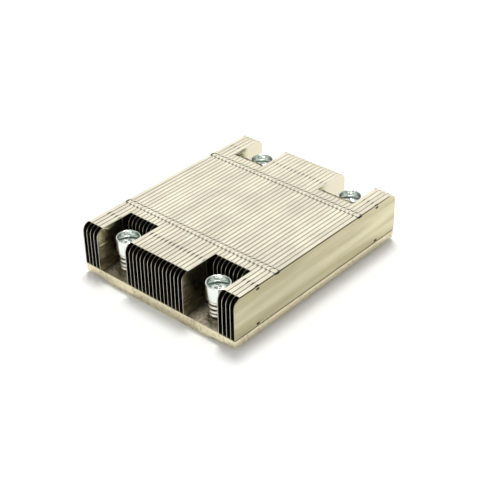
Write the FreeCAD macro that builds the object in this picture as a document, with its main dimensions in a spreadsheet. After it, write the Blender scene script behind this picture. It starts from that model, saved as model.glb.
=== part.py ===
import FreeCAD, Part
import os

import Sketcher
from FreeCAD import Placement, Rotation, Vector

# Passive heat sink of a rack server's processor: a nickel-plated base plate, a stack of
# interlocked sheet fins soldered to it, and four captive spring screws in the notches of the stack.
# Millimetres, +Z up. The origin is the centre of the contact band's underside.
# +Y runs along the fins (the way the air goes) and +X across the stack.

FIN_COUNT = 41
WIRE_SIDES = 6       # the spring wire is drawn with this many sides
COIL_STEPS = 10      # straight steps in one turn of a spring

SIZES = {
    # fin stack
    "fin_pitch": 2.3333,          # from one fin to the next
    "fin_gauge": 0.4,             # sheet thickness
    "fin_length": 115.6,          # full-length fins
    "fin_height": 21.0,
    "fin_corner": 4.0,            # rounding of the top corners
    "bend_size": 0.25,            # outside of the flange bends, drawn as a flat
    "tip_gap": 0.13,              # flange tip to the next fin
    "plate_inset": 0.4,           # top and foot of the outer fin, inside the flanges beside it
    "notch_outer": 8.2,           # room beside a screw axis, towards the outside of the stack
    "notch_inner": 8.2,           # the same towards the middle, at the low X screws
    "notch_wide": 10.5,           # the same towards the middle, at the high X screws
    "notch_clearance": 1.0,       # spring cup to the ends of the short fins
    # locks between the fins
    "zip_inset": 5.15,            # end of a short flange to the zip slot
    "zip_width": 2.8,             # the slot, along the fin
    "zip_reach": 1.2,             # how far the slot reaches into the flange
    "zip_clearance": 0.25,        # tongue to slot, on every side
    "zip_notch": 0.4,             # depth of the notches in the top edge of the outer fin
    "window_offset": 4.2,         # screw axis to the middle of a window, towards the middle
    "window_width": 2.0,
    "window_height": 1.1,
    "window_drop": 0.75,          # flange face to the near edge of a window
    "relief_depth": 0.15,         # relief in the tip of a top flange, in line with the windows
    # base plate
    "base_thickness": 4.0,        # beside the contact band
    "base_ledge": 0.1,            # base beyond the fins on each side
    "base_corner": 0.8,           # rounding of the four upright edges
    "band_height": 1.5,           # contact band below the plate
    "band_width": 62.6,
    "band_ramp": 2.0,             # slope at each side of the band
    # captive screws
    "screw_spacing_x": 56.0,
    "screw_spacing_y": 94.0,
    "thread_radius": 2.0,
    "tip_clearance": 0.3,         # screw tip above the contact face, at rest
    "shank_clearance": 0.15,      # shank to the holes in the base and the cup
    "head_radius": 4.0,
    "head_height": 2.6,
    "head_edge": 0.9,             # slope at the edge of the head
    "recess_span": 4.6,
    "recess_width": 0.9,
    "recess_depth": 1.6,
    "ring_radius": 3.5,
    "ring_thickness": 0.7,
    "ring_clearance": 0.04,
    "ring_mouth": 2.2,
    "groove_radius": 1.5,
    "pocket_radius": 4.4,         # pocket under the base for the retaining ring
    "pocket_roof": 3.3,           # its roof above the contact face
    # spring cup: a sleeve with a web across it, the screw head above, the spring below
    "cup_radius": 5.85,
    "cup_wall": 0.7,
    "cup_lift": 9.4,              # lower rim above the base at rest
    "cup_height": 7.45,
    "skirt_depth": 1.2,
    "web_thickness": 0.8,
    # spring
    "wire_diameter": 1.3,
    "spring_clearance": 0.1,      # spring to the skirt of the cup
    "closed_turns": 0.8,          # at each end, where the coil lies on itself
    "active_turns": 2.7,
    "closed_gap": 0.065,          # between the turns there
    "spring_start": 200.0,        # angle of the lower end of the wire, in degrees from +X
}

doc = FreeCAD.newDocument("heatsink")
sheet = doc.addObject("Spreadsheet::Sheet", "Sizes")
for row, (alias, number) in enumerate(SIZES.items(), start=1):
    sheet.set(f"A{row}", alias)
    sheet.set(f"B{row}", str(number))
    sheet.setAlias(f"B{row}", alias)
doc.recompute()

# Levels and places that several pieces share, written with the sheet's own names.
BASE_TOP = "Sizes.band_height + Sizes.base_thickness"
STACK_WIDTH = f"({FIN_COUNT - 1} * Sizes.fin_pitch + Sizes.fin_gauge)"
HALF_LONG = "Sizes.fin_length / 2"
HALF_SHORT = "(Sizes.screw_spacing_y / 2 - Sizes.cup_radius - Sizes.notch_clearance)"
ZIP_FAR = f"({HALF_SHORT} - Sizes.fin_corner - Sizes.zip_inset)"
WINDOW_MIDDLE = "(Sizes.screw_spacing_y / 2 - Sizes.window_offset)"
WEB_FLOOR = f"({BASE_TOP} + Sizes.cup_lift + Sizes.skirt_depth + Sizes.web_thickness)"
CUP_TOP = f"({BASE_TOP} + Sizes.cup_lift + Sizes.cup_height)"
SHANK_HOLE = "(Sizes.thread_radius + Sizes.shank_clearance)"
SKIRT_BORE = "(Sizes.cup_radius - Sizes.cup_wall)"
COIL_RADIUS = f"({SKIRT_BORE} - Sizes.spring_clearance - Sizes.wire_diameter / 2)"

# Pairs of features whose second one has to take material away, looked at after the last recompute.
cut_pairs = []


def number(expression):
    """The value that an expression has with the sheet as it stands."""
    return float(sheet.evalExpression(expression.replace("Sizes.", "")))


def origin_plane(body, role):
    return next(item for item in body.Origin.OriginFeatures if item.Role == role)


def new_body(label):
    body = doc.addObject("PartDesign::Body", label)
    body.Label = label
    return body


def new_sketch(body, name, role, offset=None):
    """A sketch on one of the body's own origin planes, lifted off it by an expression."""
    sketch = body.newObject("Sketcher::SketchObject", name)
    sketch.AttachmentSupport = (origin_plane(body, role), [""])
    sketch.MapMode = "FlatFace"
    if offset:
        sketch.setExpression("AttachmentOffset.Base.z", offset)
    return sketch


def bind(sketch, constraint, name, expression):
    index = sketch.addConstraint(constraint)
    sketch.renameConstraint(index, name)
    sketch.setExpression(f"Constraints.{name}", expression)


def outline(sketch, corners, tag="p"):
    """A closed outline. Each corner is (x, y), or (x, y, radius) where the edge that
    ends at it is a quarter arc, bulging outwards from the middle of the outline.
    Every coordinate and radius is an expression on the sheet."""
    places = [(number(corner[0]), number(corner[1])) for corner in corners]
    edges = []
    for index, corner in enumerate(corners):
        start, end = places[index - 1], places[index]
        if len(corner) == 3:
            edges.append(sketch.addGeometry(quarter_arc(start, end, number(corner[2]))))
        else:
            line = Part.LineSegment(Vector(*start, 0), Vector(*end, 0))
            edges.append(sketch.addGeometry(line))
    ends = []
    for index, edge in enumerate(edges):
        curve = sketch.Geometry[edge]
        end = Vector(*places[index], 0)
        ends.append(2 if (curve.EndPoint - end).Length < 1e-6 else 1)
    for index, edge in enumerate(edges):
        following = (index + 1) % len(edges)
        start_of_next = 3 - ends[following]
        joint = Sketcher.Constraint("Coincident", edge, ends[index], edges[following], start_of_next)
        sketch.addConstraint(joint)
        x, y = corners[index][0], corners[index][1]
        across = Sketcher.Constraint("DistanceX", edge, ends[index], places[index][0])
        up = Sketcher.Constraint("DistanceY", edge, ends[index], places[index][1])
        bind(sketch, across, f"{tag}{index}x", x)
        bind(sketch, up, f"{tag}{index}y", y)
        if len(corners[index]) == 3:
            radius = Sketcher.Constraint("Radius", edge, number(corners[index][2]))
            bind(sketch, radius, f"{tag}{index}r", corners[index][2])
    return sketch


def quarter_arc(start, end, radius):
    """The convex quarter arc that goes counter-clockwise from start to end."""
    chord = Vector(end[0] - start[0], end[1] - start[1], 0)
    middle = Vector((start[0] + end[0]) / 2, (start[1] + end[1]) / 2, 0)
    outwards = Vector(chord.y, -chord.x, 0).normalize()
    height = radius - (radius**2 - (chord.Length / 2) ** 2) ** 0.5
    top = middle + outwards * height
    return Part.Arc(Vector(*start, 0), top, Vector(*end, 0))


def box_outline(sketch, low_x, high_x, low_y, high_y, tag):
    corners = [(low_x, low_y), (high_x, low_y), (high_x, high_y), (low_x, high_y)]
    return outline(sketch, corners, tag)


def circle(sketch, x, y, radius, tag):
    shape = Part.Circle(Vector(number(x), number(y), 0), Vector(0, 0, 1), number(radius))
    edge = sketch.addGeometry(shape)
    bind(sketch, Sketcher.Constraint("Radius", edge, number(radius)), f"{tag}r", radius)
    bind(sketch, Sketcher.Constraint("DistanceX", edge, 3, number(x)), f"{tag}x", x)
    bind(sketch, Sketcher.Constraint("DistanceY", edge, 3, number(y)), f"{tag}y", y)


def feature(body, kind, name, sketch, **settings):
    """A sketch-based feature. Its length is an expression on the sheet."""
    item = body.newObject(f"PartDesign::{kind}", name)
    item.Profile = sketch
    for key, setting in settings.items():
        if key == "Length":
            item.setExpression(key, setting)
        else:
            setattr(item, key, setting)
    sketch.Visibility = False
    return item


def cuts(before, item):
    """Notes a cut, so that one that points away from its piece is found."""
    cut_pairs.append((before, item))
    return item


def check_cuts():
    for before, item in cut_pairs:
        if not item.Shape.Volume < before.Shape.Volume - 1e-6:
            raise RuntimeError(f"{item.Name} removes nothing")


# ---------------------------------------------------------------- fins

def fin_place(index):
    """Expression for the X of a fin's outer face; fins are numbered from 1."""
    return f"({index - 1} * Sizes.fin_pitch - {STACK_WIDTH} / 2)"


def is_short(index):
    """A fin is short where it would stand in the room that a screw needs."""
    low = number(fin_place(index))
    high = low + number("Sizes.fin_gauge")
    screw = number("Sizes.screw_spacing_x / 2")
    outer = number("Sizes.notch_outer")
    left = (-screw - outer, -screw + number("Sizes.notch_inner"))
    right = (screw - number("Sizes.notch_wide"), screw + outer)
    return any(low < end and high > start for start, end in (left, right))


def fin_half(index):
    return HALF_SHORT if is_short(index) else HALF_LONG


def flange_half(index):
    """Half the length of the top flange: it needs a full edge on both of its fins."""
    shorter = HALF_SHORT if is_short(index) or is_short(index + 1) else HALF_LONG
    return f"({shorter} - Sizes.fin_corner)"


def make_fin(index):
    """One sheet fin: the upright web with rounded top corners, a flange along its top and one
    along its foot, both bent towards the next fin, and the locks that zip the stack together."""
    body = new_body(f"fin_{index:02d}")
    if index == FIN_COUNT:
        add_plate(body, index)
        cut_windows(body, index)
        cut_plate_notches(body, index)
    else:
        add_web(body, index)
        add_flanges(body, index)
        if not is_short(index) and not is_short(index + 1):
            cut_reliefs(body, index)
        if index > 1:
            add_tongues(body, index)
        if index + 1 < FIN_COUNT:
            cut_zip_slots(body, index)
    body.setExpression("Placement.Base.x", fin_place(index))
    body.setExpression("Placement.Base.z", BASE_TOP)
    return body


def add_web(body, index):
    """The web, lower by the size of the bend along the part of its top that has a flange."""
    half, height, corner = fin_half(index), "Sizes.fin_height", "Sizes.fin_corner"
    foot = "Sizes.bend_size"
    crown = [(f"{half} - {corner}", height, corner)]
    reach, crease = flange_half(index), f"{height} - Sizes.bend_size"
    if is_short(index + 1) and not is_short(index):
        crown += [(reach, height)]
    crown += [(reach, crease), (f"-{reach}", crease), (f"-{reach}", height)]
    if is_short(index + 1) and not is_short(index):
        crown += [(f"-({half} - {corner})", height)]
    sides = [(f"-({half})", f"{height} - {corner}", corner), (f"-({half})", foot)]
    web = new_sketch(body, f"web_{index}", "YZ_Plane")
    outline(web, [(half, foot), (half, f"{height} - {corner}")] + crown + sides)
    return feature(body, "Pad", f"web_pad_{index}", web, Length="Sizes.fin_gauge")


def add_plate(body, index):
    """The outer fin: a plain plate between the flange tips of the fin beside it."""
    half, corner = fin_half(index), "Sizes.fin_corner"
    foot, height = "Sizes.plate_inset", "(Sizes.fin_height - Sizes.plate_inset)"
    crown = [(f"{half} - {corner}", height, corner), (f"-({half} - {corner})", height)]
    sides = [(f"-({half})", f"{height} - {corner}", corner), (f"-({half})", foot)]
    web = new_sketch(body, f"web_{index}", "YZ_Plane")
    outline(web, [(half, foot), (half, f"{height} - {corner}")] + crown + sides)
    return feature(body, "Pad", f"web_pad_{index}", web, Length="Sizes.fin_gauge")


def add_flanges(body, index):
    """Top and bottom flanges as bent strips, each an outline across the fin."""
    tip = "Sizes.fin_pitch - Sizes.tip_gap"
    gauge, bend, height = "Sizes.fin_gauge", "Sizes.bend_size", "Sizes.fin_height"
    top = new_sketch(body, f"top_{index}", "XZ_Plane")
    corners = [(gauge, f"{height} - {bend}"), (gauge, f"{height} - {gauge}")]
    corners += [(tip, f"{height} - {gauge}"), (tip, height), (bend, height)]
    outline(top, corners + [("0", f"{height} - {bend}")])
    feature(body, "Pad", f"top_pad_{index}", top, Length=f"2 * {flange_half(index)}", Midplane=True)
    foot = new_sketch(body, f"foot_{index}", "XZ_Plane")
    corners = [(bend, "0"), (tip, "0"), (tip, gauge), (gauge, gauge), (gauge, bend), ("0", bend)]
    outline(foot, corners)
    return feature(body, "Pad", f"foot_pad_{index}", foot, Length=f"2 * {fin_half(index)}",
                   Midplane=True)


def add_tongues(body, index):
    """Tongues at the bend that lie in the zip slots of the fin before."""
    plan = new_sketch(body, f"tongue_{index}", "XY_Plane", "Sizes.fin_height")
    end = "-(Sizes.tip_gap + Sizes.zip_reach - Sizes.zip_clearance)"
    root = "2 * Sizes.bend_size"
    near = f"({ZIP_FAR} - Sizes.zip_width + Sizes.zip_clearance)"
    far = f"({ZIP_FAR} - Sizes.zip_clearance)"
    box_outline(plan, end, root, near, far, "a")
    box_outline(plan, end, root, f"-{far}", f"-{near}", "b")
    return feature(body, "Pad", f"tongue_pad_{index}", plan, Length="Sizes.fin_gauge", Reversed=True)


def cut_zip_slots(body, index):
    """Slots in the tip of the top flange, where the tongues of the next fin come in."""
    before = body.Tip
    plan = new_sketch(body, f"zip_{index}", "XY_Plane", "Sizes.fin_height")
    root, tip = "Sizes.fin_pitch - Sizes.tip_gap - Sizes.zip_reach", "Sizes.fin_pitch"
    near = f"({ZIP_FAR} - Sizes.zip_width)"
    box_outline(plan, root, tip, near, ZIP_FAR, "a")
    box_outline(plan, root, tip, f"-{ZIP_FAR}", f"-{near}", "b")
    depth = "Sizes.fin_gauge * 2"
    return cuts(before, feature(body, "Pocket", f"zip_cut_{index}", plan, Length=depth))


def cut_plate_notches(body, index):
    """Notches in the top edge of the outer fin, in line with the zip slots."""
    before = body.Tip
    side = new_sketch(body, f"notch_{index}", "YZ_Plane")
    near = f"({ZIP_FAR} - Sizes.zip_width)"
    low, high = "(Sizes.fin_height - Sizes.plate_inset - Sizes.zip_notch)", "Sizes.fin_height"
    box_outline(side, near, ZIP_FAR, low, high, "a")
    box_outline(side, f"-{ZIP_FAR}", f"-{near}", low, high, "b")
    notch = feature(body, "Pocket", f"notch_cut_{index}", side, Length="Sizes.fin_gauge * 2")
    notch.Midplane = True
    return cuts(before, notch)


def window_ends():
    """Where a window, and the relief in line with it, begins and ends along the fin."""
    near = f"({WINDOW_MIDDLE} - Sizes.window_width / 2)"
    far = f"({WINDOW_MIDDLE} + Sizes.window_width / 2)"
    return near, far


def cut_windows(body, index):
    """Windows near the top and the foot of the outer plate, one pair at each end."""
    before = body.Tip
    near, far = window_ends()
    top = "(Sizes.fin_height - Sizes.window_drop)"
    low = "Sizes.window_drop"
    side = new_sketch(body, f"window_{index}", "YZ_Plane")
    box_outline(side, near, far, f"{top} - Sizes.window_height", top, "a")
    box_outline(side, f"-{far}", f"-{near}", f"{top} - Sizes.window_height", top, "b")
    box_outline(side, near, far, low, f"{low} + Sizes.window_height", "c")
    box_outline(side, f"-{far}", f"-{near}", low, f"{low} + Sizes.window_height", "d")
    window = feature(body, "Pocket", f"window_cut_{index}", side, Length="Sizes.fin_gauge * 2")
    window.Midplane = True
    return cuts(before, window)


def cut_reliefs(body, index):
    """Short reliefs in the tip of the top flange, in line with the windows of the outer plate."""
    before = body.Tip
    near, far = window_ends()
    plan = new_sketch(body, f"relief_{index}", "XY_Plane", "Sizes.fin_height")
    tip = "Sizes.fin_pitch"
    root = "Sizes.fin_pitch - Sizes.tip_gap - Sizes.relief_depth"
    box_outline(plan, root, tip, near, far, "a")
    box_outline(plan, root, tip, f"-{far}", f"-{near}", "b")
    depth = "Sizes.fin_gauge * 2"
    return cuts(before, feature(body, "Pocket", f"relief_cut_{index}", plan, Length=depth))


# ---------------------------------------------------------------- base plate

def make_base():
    """Plate with a contact band milled proud along its underside, and four screw holes,
    each opening into a pocket for the retaining ring."""
    body = new_body("base_plate")
    across = f"({STACK_WIDTH} / 2 + Sizes.base_ledge)"
    band, ramp = "Sizes.band_width / 2", "(Sizes.band_width / 2 + Sizes.band_ramp)"
    step = "Sizes.band_height"
    front = new_sketch(body, "base_front", "XZ_Plane")
    corners = [(band, "0"), (ramp, step), (across, step), (across, BASE_TOP)]
    corners += [(f"-{across}", BASE_TOP), (f"-{across}", step), (f"-{ramp}", step), (f"-{band}", "0")]
    outline(front, corners)
    length = "Sizes.fin_length + 2 * Sizes.base_ledge"
    plate = feature(body, "Pad", "base_pad", front, Length=length, Midplane=True)
    doc.recompute()
    round_edges = body.newObject("PartDesign::Fillet", "base_corners")
    round_edges.Base = (plate, upright_edges(plate.Shape, number(across)))
    round_edges.setExpression("Radius", "Sizes.base_corner")
    doc.recompute()
    holes = screw_circles(body, "screw_holes", SHANK_HOLE)
    drilled = feature(body, "Pocket", "screw_hole_cut", holes, Type="ThroughAll", Reversed=True)
    cuts(round_edges, drilled)
    pockets = screw_circles(body, "ring_pockets", "Sizes.pocket_radius")
    depth = "Sizes.pocket_roof"
    sunk = feature(body, "Pocket", "ring_pocket_cut", pockets, Length=depth, Reversed=True)
    cuts(drilled, sunk)
    return body


def upright_edges(shape, reach):
    names = []
    for index, edge in enumerate(shape.Edges, start=1):
        box = edge.BoundBox
        if box.XLength < 1e-6 and box.YLength < 1e-6 and abs(abs(box.XMin) - reach) < 1e-6:
            names.append(f"Edge{index}")
    return names


def screw_circles(body, name, radius):
    plan = new_sketch(body, name, "XY_Plane")
    for count, (side, end) in enumerate(CORNERS):
        x = f"{side} * Sizes.screw_spacing_x / 2"
        y = f"{end} * Sizes.screw_spacing_y / 2"
        circle(plan, x, y, radius, f"c{count}")
    return plan


# ---------------------------------------------------------------- captive screws

CORNERS = [(-1, -1), (1, -1), (-1, 1), (1, 1)]


def turned(body, name, corners):
    """A turned piece: half its section, in the XZ plane, spun round the Z axis."""
    section = new_sketch(body, name, "XZ_Plane")
    outline(section, corners)
    spun = feature(body, "Revolution", f"{name}_spun", section)
    spun.ReferenceAxis = (section, ["V_Axis"])
    spun.Angle = 360
    return spun


def at_corner(body, corner):
    side, end = CORNERS[corner]
    body.setExpression("Placement.Base.x", f"{side} * Sizes.screw_spacing_x / 2")
    body.setExpression("Placement.Base.y", f"{end} * Sizes.screw_spacing_y / 2")
    return body


def make_screw(corner):
    """Pan head screw with a cross recess; a groove below the shank takes the retaining ring."""
    body = new_body(f"captive_screw_{corner + 1}")
    radius, groove, tip = "Sizes.thread_radius", "Sizes.groove_radius", "Sizes.tip_clearance"
    roof = "Sizes.pocket_roof"
    low = f"({roof} - Sizes.ring_thickness - 2 * Sizes.ring_clearance)"
    seat = WEB_FLOOR
    crown = f"({seat} + Sizes.head_height)"
    rim = f"({crown} - Sizes.head_edge)"
    corners = [("0", tip), (radius, tip), (radius, low), (groove, low), (groove, roof)]
    corners += [(radius, roof), (radius, seat), ("Sizes.head_radius", seat)]
    corners += [("Sizes.head_radius", rim), ("Sizes.head_radius - Sizes.head_edge", crown), ("0", crown)]
    blank = turned(body, f"screw_{corner}", corners)
    recess = new_sketch(body, f"recess_{corner}", "XY_Plane", crown)
    long, wide = "Sizes.recess_span / 2", "Sizes.recess_width / 2"
    cross = [(long, f"-{wide}"), (long, wide), (wide, wide), (wide, long), (f"-{wide}", long)]
    cross += [(f"-{wide}", wide), (f"-{long}", wide), (f"-{long}", f"-{wide}")]
    cross += [(f"-{wide}", f"-{wide}"), (f"-{wide}", f"-{long}"), (wide, f"-{long}"), (wide, f"-{wide}")]
    outline(recess, cross)
    cut = feature(body, "Pocket", f"recess_cut_{corner}", recess, Length="Sizes.recess_depth")
    cuts(blank, cut)
    return at_corner(body, corner)


def make_cup(corner):
    """Sleeve open at both ends with a web across it, bored for the screw's shank."""
    body = new_body(f"spring_cup_{corner + 1}")
    low = f"({BASE_TOP} + Sizes.cup_lift)"
    ceiling = f"({low} + Sizes.skirt_depth)"
    corners = [(SKIRT_BORE, low), ("Sizes.cup_radius", low), ("Sizes.cup_radius", CUP_TOP)]
    corners += [(SKIRT_BORE, CUP_TOP), (SKIRT_BORE, WEB_FLOOR), (SHANK_HOLE, WEB_FLOOR)]
    corners += [(SHANK_HOLE, ceiling), (SKIRT_BORE, ceiling)]
    turned(body, f"cup_{corner}", corners)
    return at_corner(body, corner)


def make_ring(corner):
    """Open retaining ring, sprung into the groove, that stops the screw under the base."""
    body = new_body(f"retaining_ring_{corner + 1}")
    top = "(Sizes.pocket_roof - Sizes.ring_clearance)"
    low = f"({top} - Sizes.ring_thickness)"
    bore = "(Sizes.groove_radius + Sizes.ring_clearance)"
    corners = [(bore, low), ("Sizes.ring_radius", low), ("Sizes.ring_radius", top), (bore, top)]
    full = turned(body, f"ring_{corner}", corners)
    mouth = new_sketch(body, f"mouth_{corner}", "XY_Plane", "Sizes.pocket_roof")
    half = "Sizes.ring_mouth / 2"
    box_outline(mouth, "0", "Sizes.ring_radius * 2", f"-{half}", half, "a")
    cut = feature(body, "Pocket", f"mouth_cut_{corner}", mouth, Length="Sizes.ring_thickness * 2")
    cuts(full, cut)
    return at_corner(body, corner)


def make_spring(corner):
    """Compression spring between the base and the web of the cup, with closed ends."""
    radius = number("Sizes.wire_diameter / 2")
    low = number(f"{BASE_TOP} + Sizes.wire_diameter / 2")
    high = number(f"{BASE_TOP} + Sizes.cup_lift + Sizes.skirt_depth - Sizes.wire_diameter / 2")
    closed, active = number("Sizes.closed_turns"), number("Sizes.active_turns")
    closed_rise = number("Sizes.closed_turns * (Sizes.wire_diameter + Sizes.closed_gap)")
    turns = closed + active + closed
    steps = round(turns * COIL_STEPS)
    start = Rotation(Vector(0, 0, 1), number("Sizes.spring_start"))
    arm = start.multVec(Vector(number(COIL_RADIUS), 0, 0))
    points = []
    for step in range(steps + 1):
        turn = turns * step / steps
        if turn < closed:
            rise = closed_rise * turn / closed
        elif turn > closed + active:
            rise = high - low - closed_rise * (turns - turn) / closed
        else:
            rise = closed_rise + (high - low - 2 * closed_rise) * (turn - closed) / active
        points.append(Rotation(Vector(0, 0, 1), 360 * turn).multVec(arm) + Vector(0, 0, low + rise))
    path = Part.makePolygon(points)
    coil = path.makePipeShell([wire_outline(points, radius)], True, False, 1)
    spring = doc.addObject("Part::Feature", f"spring_{corner + 1}")
    spring.Shape = coil
    side, end = CORNERS[corner]
    x, y = side * number("Sizes.screw_spacing_x / 2"), end * number("Sizes.screw_spacing_y / 2")
    spring.Placement = Placement(Vector(x, y, 0), Rotation())
    return spring


def wire_outline(points, radius):
    """Section of the wire, square to the start of its path."""
    facing = Rotation(Vector(0, 0, 1), points[1] - points[0])
    corners = []
    for side in range(WIRE_SIDES + 1):
        spin = Rotation(Vector(0, 0, 1), 360 * side / WIRE_SIDES)
        corners.append(points[0] + facing.multVec(spin.multVec(Vector(radius, 0, 0))))
    return Part.makePolygon(corners)


# ---------------------------------------------------------------- assembly

def write_parts(bodies):
    check_cuts()
    for item in doc.Objects:
        if "Invalid" in item.State or "Error" in item.State:
            raise RuntimeError(f"{item.Name} is {item.State}")
    for body in bodies:
        if body.Shape.isNull() or not body.Shape.isValid():
            raise RuntimeError(f"{body.Label} has no valid shape")
    os.makedirs("parts", exist_ok=True)
    for body in bodies:
        body.Shape.exportStep(f"parts/{body.Label}.step")


bodies = [make_base()]
bodies += [make_fin(index) for index in range(1, FIN_COUNT + 1)]
for corner in range(len(CORNERS)):
    bodies += [make_screw(corner), make_cup(corner), make_spring(corner), make_ring(corner)]
doc.recompute()
write_parts(bodies)
print(len(bodies), "sub-parts written")
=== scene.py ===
import math

import bmesh
import bpy
from bpy.props import FloatProperty, FloatVectorProperty, IntProperty, PointerProperty
from mathutils import Matrix, Vector


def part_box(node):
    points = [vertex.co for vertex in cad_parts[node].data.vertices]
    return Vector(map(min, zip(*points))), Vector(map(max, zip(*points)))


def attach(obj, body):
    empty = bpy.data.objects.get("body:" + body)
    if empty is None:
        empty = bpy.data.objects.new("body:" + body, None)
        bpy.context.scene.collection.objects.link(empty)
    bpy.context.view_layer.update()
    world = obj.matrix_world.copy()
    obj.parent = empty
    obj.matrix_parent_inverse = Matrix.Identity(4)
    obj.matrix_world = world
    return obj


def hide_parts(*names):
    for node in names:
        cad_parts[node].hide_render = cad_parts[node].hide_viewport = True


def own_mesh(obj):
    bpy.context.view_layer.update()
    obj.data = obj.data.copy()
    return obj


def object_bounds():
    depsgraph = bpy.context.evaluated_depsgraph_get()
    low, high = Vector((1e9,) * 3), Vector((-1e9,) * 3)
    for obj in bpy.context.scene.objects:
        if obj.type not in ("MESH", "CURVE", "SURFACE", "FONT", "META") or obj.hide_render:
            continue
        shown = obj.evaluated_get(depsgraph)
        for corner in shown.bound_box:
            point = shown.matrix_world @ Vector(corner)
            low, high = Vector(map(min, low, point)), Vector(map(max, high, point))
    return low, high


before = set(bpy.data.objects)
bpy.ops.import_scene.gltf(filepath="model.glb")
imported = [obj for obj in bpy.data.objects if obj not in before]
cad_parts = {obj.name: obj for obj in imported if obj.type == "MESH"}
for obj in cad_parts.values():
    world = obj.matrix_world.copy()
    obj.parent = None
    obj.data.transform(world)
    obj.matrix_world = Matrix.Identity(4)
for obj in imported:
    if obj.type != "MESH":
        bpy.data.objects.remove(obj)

bl_info = {
    "name": "Server heat sink",
    "version": (1, 0, 0),
    "blender": (4, 5, 0),
    "location": "View3D > Sidebar > Heat sink",
    "description": "Finishes a plated fin stack and makes its captive spring screws",
    "category": "Add Mesh",
}

MM = 0.001
CORNERS = (1, 2, 3, 4)
FINS = sorted(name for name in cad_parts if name.startswith("fin_"))
SIDE_PLATE = FINS[-1]
CAD_LOW, CAD_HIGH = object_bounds()


# ---------------------------------------------------------------- sizes and colours


def linear(code):
    """The linear colour of an sRGB hex code, as the shader sockets want it."""
    parts = [int(code[k:k + 2], 16) / 255 for k in (1, 3, 5)]
    return tuple(p / 12.92 if p <= 0.04045 else ((p + 0.055) / 1.055) ** 2.4 for p in parts)


def length(label, text, default):
    """A size in millimetres, kept in metres."""
    return FloatProperty(name=label, description=text, default=default * MM, min=0.0,
                         precision=5, subtype="DISTANCE", unit="LENGTH")


def colour(label, text, code):
    return FloatVectorProperty(name=label, description=text, default=linear(code), size=3,
                               min=0.0, max=1.0, subtype="COLOR")


def share(label, text, default, high=1.0):
    return FloatProperty(name=label, description=text, default=default, min=0.0, max=high,
                         subtype="FACTOR" if high == 1.0 else "NONE")


def steps(label, text, default):
    return IntProperty(name=label, description=text, default=default, min=6, max=256)


class FinishSettings(bpy.types.PropertyGroup):
    """Colours and roughness of the plated and the steel pieces"""

    fin_tint: colour("Fin tint", "Nickel plating of the fin stack", "#FCF5DE")
    # Painted shade on the upright webs between the fins.
    web_shade_tint: colour("Web tint", "Thin plating on the upright webs", "#A89F86")
    shear_tint: colour("Sheared ends", "Burnished half of the fins' sheared ends", "#D2D0C6")
    # Also painted as shade on the tops of the fins' rounded corners.
    torn_end_and_corner_shade: colour("Torn ends", "Torn half of the fins' sheared ends", "#4E4A40")
    # Painted shade in the seams between fins.
    seam_shade_tint: colour("Seams", "Dull rims in the seams between fins", "#6A604A")
    # Painted shade: nearly black in the slots, the windows and the openings.
    slot_shade_tint: colour("Slots", "Walls of the punched slots and windows", "#17130C")
    plate_tint: colour("Side plate tint", "Nickel plating of the outer fin", "#D6CFB0")
    # Painted reflection: the darker bands of the side plate.
    plate_shade: colour("Side plate shade", "The darker bands of the outer fin", "#BDB592")
    base_tint: colour("Base tint", "Nickel plating of the base plate", "#E8E0C0")
    base_stain: colour("Base stain", "Heat and handling stains on the base", "#9B8F76")
    flux_tint: colour("Flux tint", "Upper face of the base, under solder flux", "#A8A18C")
    flux_shade: colour("Flux shade", "The darker pools of the flux", "#7E7568")
    base_blush: colour("Base blush", "Copper showing pink through thin plating", "#D9B79B")
    steel_tint: colour("Zinc steel", "Bright zinc on the cups and screws", "#EFF5EF")
    wire_tint: colour("Spring wire", "Bright wire of the springs", "#F3F1E8")
    zip_middle: length("Zip rows", "Middle of the stack to the zip rows", 29.6)
    zip_width: length("Zip width", "Zip slots along the fins", 2.8)
    relief_middle: length("Relief rows", "Middle of the stack to the rows of reliefs", 42.8)
    relief_width: length("Relief width", "Reliefs along the fins", 2.0)
    fin_roughness: share("Fin roughness", "Roughness of the plated sheet", 0.2)
    base_roughness: share("Base roughness", "Roughness of the milled and plated base", 0.36)
    steel_roughness: share("Zinc roughness", "Roughness of the bright zinc", 0.18)
    wire_roughness: share("Wire roughness", "Roughness of the springs' wire", 0.32)
    ring_roughness: share("Ring roughness", "Roughness of the retaining rings", 0.25)


class FixingSettings(bpy.types.PropertyGroup):
    """Sizes of the captive spring screws that the boxes of the frame don't give"""

    cup_wall: length("Cup wall", "Wall of the spring cup", 0.7)
    skirt_depth: length("Skirt depth", "Lower rim of the cup to the underside of its web", 1.2)
    web_thickness: length("Web thickness", "Web that carries the head and the spring", 0.8)
    web_hole: length("Web hole", "Radius of the hole in the web", 2.15)
    shank_radius: length("Shank radius", "Radius of the plain shank", 2.0)
    head_radius: length("Head radius", "Radius of the pan head", 4.0)
    head_height: length("Head height", "Top of the head above its seat", 2.6)
    recess_span: length("Recess span", "Cross recess from wing to wing", 4.6)
    recess_width: length("Recess width", "Width of one wing of the cross", 0.9)
    recess_depth: length("Recess depth", "Depth of the cross recess", 1.6)
    thread_pitch: length("Thread pitch", "From one thread to the next", 0.7)
    wire_radius: length("Wire radius", "Half the spring wire", 0.8)
    closed_turns: share("Closed turns", "Turns at each end that lie on each other", 0.8, 3.0)
    active_turns: share("Active turns", "Open turns between them", 2.7, 12.0)
    spring_start: FloatProperty(name="Spring start", description="Where the wire's lower end is",
                                default=math.radians(200), subtype="ANGLE", unit="ROTATION")
    round_steps: steps("Round steps", "Steps round a turned piece", 64)
    thread_steps: steps("Thread steps", "Steps round each turn of the thread", 24)
    spring_steps: steps("Spring steps", "Steps round each turn of a spring", 36)
    wire_steps: steps("Wire steps", "Steps round the wire of a spring", 12)


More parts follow.
